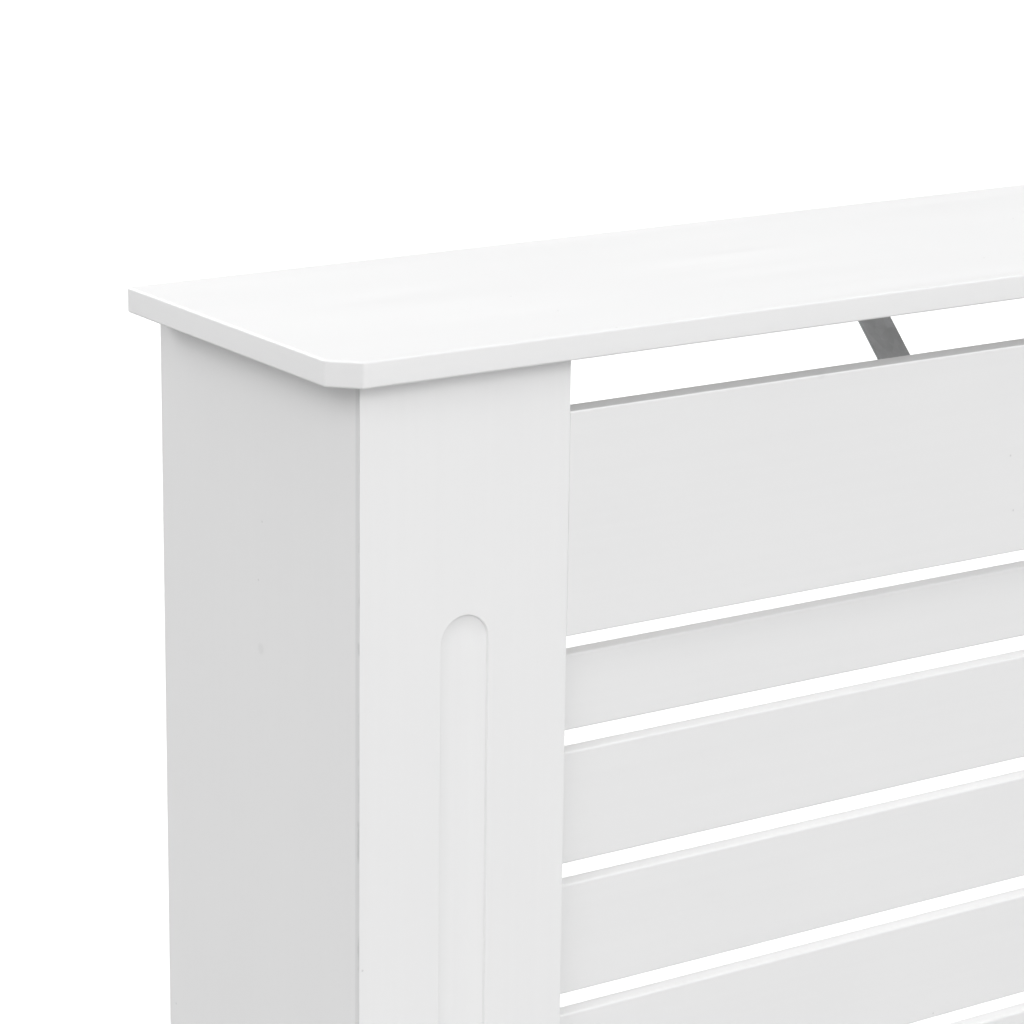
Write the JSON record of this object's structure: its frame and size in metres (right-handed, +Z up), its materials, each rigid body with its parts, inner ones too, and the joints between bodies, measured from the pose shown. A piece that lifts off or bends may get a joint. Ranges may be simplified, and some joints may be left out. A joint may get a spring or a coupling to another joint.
{
  "type": "radiator cover cabinet",
  "caption": "Free-standing radiator cover: painted board case with clipped-corner top, grooved corner posts, flush rails and recessed level slats, open behind and at the floor.",
  "frame": {"origin": "on the floor, under the centre of the top board's rectangle", "axes": "+Z up, -Y towards the front with its slats, +Y towards the open back and the wall, +X to the right as seen from the front"},
  "size_m": [0.78, 0.19, 0.815],
  "materials": {
    "painted_board": "satin white paint on fibreboard, edges slightly rounded",
    "pine_batten": "planed pine, unfinished",
    "beech_dowel": "turned beech, unfinished",
    "zinc_steel": "zinc-plated steel strip, dull",
    "zinc_screw": "zinc-plated steel, semi-bright"
  },
  "bodies": {
    "root": {"bottom_rail": "painted_board", "corner_stay": "zinc_steel", "left_bottom_rail_dowel_high": "beech_dowel", "left_bottom_rail_dowel_low": "beech_dowel", "left_bracket_screw": "zinc_screw", "left_corner_batten": "pine_batten", "left_front_post": "painted_board", "left_side_panel": "painted_board", "left_top_batten": "pine_batten", "left_top_rail_dowel_high": "beech_dowel", "left_top_rail_dowel_low": "beech_dowel", "left_top_screw_back": "zinc_screw", "left_top_screw_front": "zinc_screw", "left_wall_bracket": "zinc_steel", "narrow_slat_lower": "painted_board", "narrow_slat_lower_screw_left": "zinc_screw", "narrow_slat_lower_screw_right": "zinc_screw", "narrow_slat_upper": "painted_board", "narrow_slat_upper_screw_left": "zinc_screw", "narrow_slat_upper_screw_right": "zinc_screw", "right_bottom_rail_dowel_high": "beech_dowel", "right_bottom_rail_dowel_low": "beech_dowel", "right_bracket_screw": "zinc_screw", "right_corner_batten": "pine_batten", "right_front_post": "painted_board", "right_side_panel": "painted_board", "right_top_batten": "pine_batten", "right_top_rail_dowel_high": "beech_dowel", "right_top_rail_dowel_low": "beech_dowel", "right_top_screw_back": "zinc_screw", "right_top_screw_front": "zinc_screw", "right_wall_bracket": "zinc_steel", "slat_1": "painted_board", "slat_1_screw_left": "zinc_screw", "slat_1_screw_right": "zinc_screw", "slat_2": "painted_board", "slat_2_screw_left": "zinc_screw", "slat_2_screw_right": "zinc_screw", "slat_3": "painted_board", "slat_3_screw_left": "zinc_screw", "slat_3_screw_right": "zinc_screw", "slat_4": "painted_board", "slat_4_screw_left": "zinc_screw", "slat_4_screw_right": "zinc_screw", "slat_5": "painted_board", "slat_5_screw_left": "zinc_screw", "slat_5_screw_right": "zinc_screw", "slat_6": "painted_board", "slat_6_screw_left": "zinc_screw", "slat_6_screw_right": "zinc_screw", "stay_rail_screw": "zinc_screw", "stay_top_screw": "zinc_screw", "top_board": "painted_board", "top_rail": "painted_board"}
  },
  "joints": []
}
